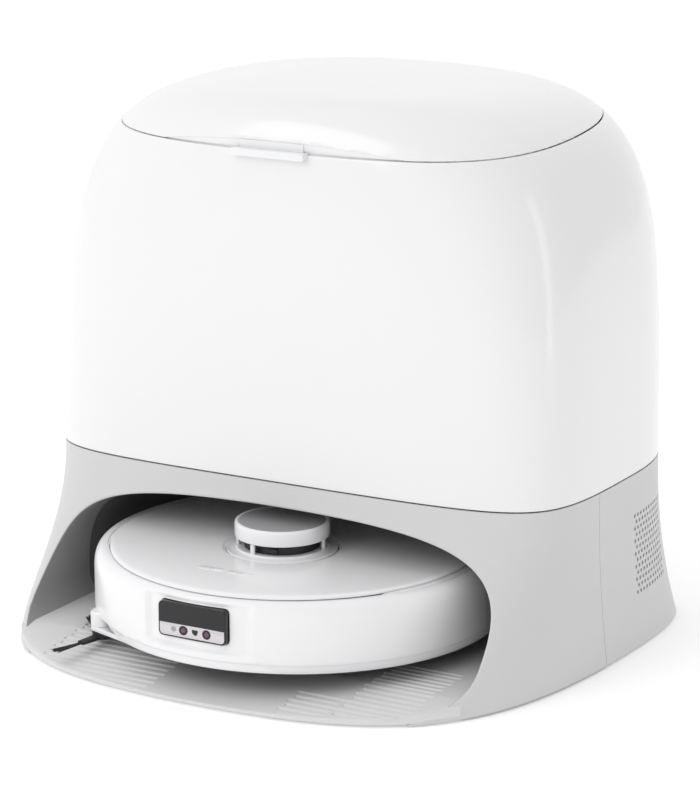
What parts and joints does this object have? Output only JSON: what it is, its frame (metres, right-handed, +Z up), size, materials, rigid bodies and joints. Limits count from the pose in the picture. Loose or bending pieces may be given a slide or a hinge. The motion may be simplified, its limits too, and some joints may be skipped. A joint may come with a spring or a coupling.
{
  "type": "robot vacuum",
  "caption": "Round robot vacuum and mop parked in its docking station, with a hinged lid over the water tanks, an arched bay with a ribbed ramp, and a laser turret on the robot.",
  "frame": {"origin": "on the floor under the middle of the station's bounding box", "axes": "+Z up, the open front of the bay faces -Y, +X is the station's width"},
  "size_m": [0.522, 0.4819, 0.4701],
  "materials": {
    "shell_white": "gloss",
    "grey_skirt": "satin",
    "tray_grey": "matte",
    "inner_grey": "satin",
    "robot_white": "semi-gloss",
    "cap_grey": "satin",
    "window_glass": "gloss",
    "lens": "gloss",
    "black_plastic": "satin",
    "clear_tank": "gloss",
    "dark_tank": "gloss",
    "rubber_black": "matte",
    "rubber_grey": "matte",
    "tyre": "matte",
    "bag_fabric": "nonwoven",
    "card": "matte",
    "mop_cloth": "pile",
    "bristle": "matte",
    "steel": "brushed",
    "contact_metal": "polished",
    "pcb": "solder mask",
    "battery_wrap": "satin"
  },
  "bodies": {
    "station": {"front_fascia": "grey_skirt", "rear_housing": "grey_skirt", "upper_shell": "shell_white", "lid_hinge_pin": "steel", "top_deck": "inner_grey", "dust_bag": "bag_fabric", "dust_bag_collar": "card", "suction_fan_housing": "black_plastic", "bay_liner": "grey_skirt", "base_tray": "tray_grey", "rubber_feet": "rubber_grey", "wash_board": "inner_grey", "dust_duct": "black_plastic", "duct_inlet_seal": "rubber_black", "water_pump": "black_plastic", "drying_fan": "black_plastic", "control_board": "pcb", "power_supply": "steel", "power_inlet": "black_plastic"},
    "lid": {"lid": "shell_white", "lid_finger_tab": "shell_white"},
    "clean_tank": {"clean_tank": "clear_tank", "clean_tank_lid": "inner_grey"},
    "clean_handle": {"clean_tank_handle": "grey_skirt"},
    "dirty_tank": {"dirty_tank": "dark_tank", "dirty_tank_lid": "inner_grey"},
    "dirty_handle": {"dirty_tank_handle": "grey_skirt"},
    "impeller": {"suction_impeller": "cap_grey"},
    "drying_rotor": {"drying_fan_rotor": "cap_grey"},
    "contacts": {"charging_contacts": "contact_metal"},
    "robot": {"robot_chassis": "black_plastic", "robot_housing": "robot_white", "turret_base": "robot_white", "dust_bin": "dark_tank", "battery": "battery_wrap"},
    "bumper": {"robot_bumper": "robot_white", "camera_window": "window_glass", "camera_lenses": "lens"},
    "top_cover": {"robot_top_cover": "robot_white"},
    "power_button": {"power_button": "robot_white"},
    "dock_button": {"dock_button": "robot_white"},
    "turret_cap": {"turret_cap": "robot_white"},
    "lidar": {"lidar_rotor": "black_plastic"},
    "suspension_left": {"suspension_left": "black_plastic"},
    "suspension_right": {"suspension_right": "black_plastic"},
    "wheel_left": {"drive_wheel_left": "black_plastic", "drive_tyre_left": "tyre"},
    "wheel_right": {"drive_wheel_right": "black_plastic", "drive_tyre_right": "tyre"},
    "caster": {"caster_fork": "black_plastic"},
    "caster_wheel": {"caster_wheel": "tyre"},
    "roller_front": {"roller_front": "rubber_grey"},
    "roller_rear": {"roller_rear": "rubber_grey"},
    "brush_arm": {"side_brush_arm": "black_plastic"},
    "side_brush": {"side_brush": "bristle"},
    "mop_carrier": {"mop_carrier": "black_plastic"},
    "mop_left": {"mop_plate_left": "black_plastic", "mop_pad_left": "mop_cloth"},
    "mop_right": {"mop_plate_right": "black_plastic", "mop_pad_right": "mop_cloth"}
  },
  "joints": [
    {"name": "lid_hinge", "type": "hinge", "parent": "station", "child": "lid", "pos_m": [0, 0.2184, 0.4494], "axis": [-1, 0, 0], "range_deg": [0, 80]},
    {"name": "clean_tank_lift", "type": "slide", "parent": "station", "child": "clean_tank", "axis": [0, 0, 1], "range_m": [0, 0.02]},
    {"name": "clean_handle_fold", "type": "hinge", "parent": "clean_tank", "child": "clean_handle", "pos_m": [-0.128, 0.055, 0.3906], "axis": [0, 1, 0], "range_deg": [0, 90]},
    {"name": "dirty_tank_lift", "type": "slide", "parent": "station", "child": "dirty_tank", "axis": [0, 0, 1], "range_m": [0, 0.02]},
    {"name": "dirty_handle_fold", "type": "hinge", "parent": "dirty_tank", "child": "dirty_handle", "pos_m": [0.128, 0.055, 0.3906], "axis": [0, -1, 0], "range_deg": [0, 90]},
    {"name": "impeller_spin", "type": "hinge", "parent": "station", "child": "impeller", "pos_m": [0, 0.05, 0.2], "axis": [0, 0, 1], "continuous": true},
    {"name": "drying_rotor_spin", "type": "hinge", "parent": "station", "child": "drying_rotor", "pos_m": [0.228, 0.112, 0.08], "axis": [1, 0, 0], "continuous": true},
    {"name": "contact_press", "type": "slide", "parent": "station", "child": "contacts", "axis": [0, 1, 0], "range_m": [0, 0.002], "stiffness_N_per_m": 400},
    {"name": "robot_drive", "type": "slide", "parent": "station", "child": "robot", "axis": [0, -1, 0], "range_m": [0, 0.45]},
    {"name": "bumper_press", "type": "slide", "parent": "robot", "child": "bumper", "axis": [0, 1, 0], "range_m": [0, 0.003], "stiffness_N_per_m": 1500},
    {"name": "top_cover_lift", "type": "slide", "parent": "robot", "child": "top_cover", "axis": [0, 0, 1], "range_m": [0, 0.015]},
    {"name": "power_button_press", "type": "slide", "parent": "robot", "child": "power_button", "axis": [0, 0, -1], "range_m": [0, 0.001], "stiffness_N_per_m": 3000},
    {"name": "dock_button_press", "type": "slide", "parent": "robot", "child": "dock_button", "axis": [0, 0, -1], "range_m": [0, 0.001], "stiffness_N_per_m": 3000},
    {"name": "turret_cap_press", "type": "slide", "parent": "robot", "child": "turret_cap", "axis": [0, 0, -1], "range_m": [0, 0.0015], "stiffness_N_per_m": 2500},
    {"name": "lidar_spin", "type": "hinge", "parent": "robot", "child": "lidar", "pos_m": [0, -0.08, 0.09], "axis": [0, 0, 1], "continuous": true},
    {"name": "suspension_left_swing", "type": "hinge", "parent": "robot", "child": "suspension_left", "pos_m": [0.101, -0.034, 0.054], "axis": [-1, 0, 0], "range_deg": [0, 4], "stiffness_Nm_per_rad": 60},
    {"name": "suspension_right_swing", "type": "hinge", "parent": "robot", "child": "suspension_right", "pos_m": [-0.101, -0.034, 0.054], "axis": [-1, 0, 0], "range_deg": [0, 4], "stiffness_Nm_per_rad": 60},
    {"name": "wheel_left_spin", "type": "hinge", "parent": "suspension_left", "child": "wheel_left", "pos_m": [0.118, -0.075, 0.0463], "axis": [1, 0, 0], "continuous": true},
    {"name": "wheel_right_spin", "type": "hinge", "parent": "suspension_right", "child": "wheel_right", "pos_m": [-0.118, -0.075, 0.0463], "axis": [1, 0, 0], "continuous": true},
    {"name": "caster_swivel", "type": "hinge", "parent": "robot", "child": "caster", "pos_m": [0, -0.179, 0.03], "axis": [0, 0, 1], "continuous": true},
    {"name": "caster_roll", "type": "hinge", "parent": "caster", "child": "caster_wheel", "pos_m": [0, -0.174, 0.0243], "axis": [1, 0, 0], "continuous": true},
    {"name": "roller_front_spin", "type": "hinge", "parent": "robot", "child": "roller_front", "pos_m": [0, -0.126, 0.031], "axis": [1, 0, 0], "continuous": true},
    {"name": "roller_rear_spin", "type": "hinge", "parent": "robot", "child": "roller_rear", "pos_m": [0, -0.092, 0.031], "axis": [1, 0, 0], "continuous": true},
    {"name": "brush_arm_swing", "type": "hinge", "parent": "robot", "child": "brush_arm", "pos_m": [-0.06, -0.19, 0.03], "axis": [0, 0, -1], "range_deg": [0, 14]},
    {"name": "side_brush_spin", "type": "hinge", "parent": "brush_arm", "child": "side_brush", "pos_m": [-0.122, -0.17, 0.025], "axis": [0, 0, 1], "continuous": true},
    {"name": "mop_lift", "type": "slide", "parent": "robot", "child": "mop_carrier", "axis": [0, 0, 1], "range_m": [0, 0.007]},
    {"name": "mop_left_spin", "type": "hinge", "parent": "mop_carrier", "child": "mop_left", "pos_m": [0.073, 0.02, 0.02], "axis": [0, 0, 1], "continuous": true},
    {"name": "mop_right_spin", "type": "hinge", "parent": "mop_carrier", "child": "mop_right", "pos_m": [-0.073, 0.02, 0.02], "axis": [0, 0, 1], "continuous": true}
  ],
  "couplings": [
    {"joint": "roller_rear_spin", "follows": "roller_front_spin", "ratio": -1},
    {"joint": "mop_right_spin", "follows": "mop_left_spin", "ratio": -1}
  ]
}
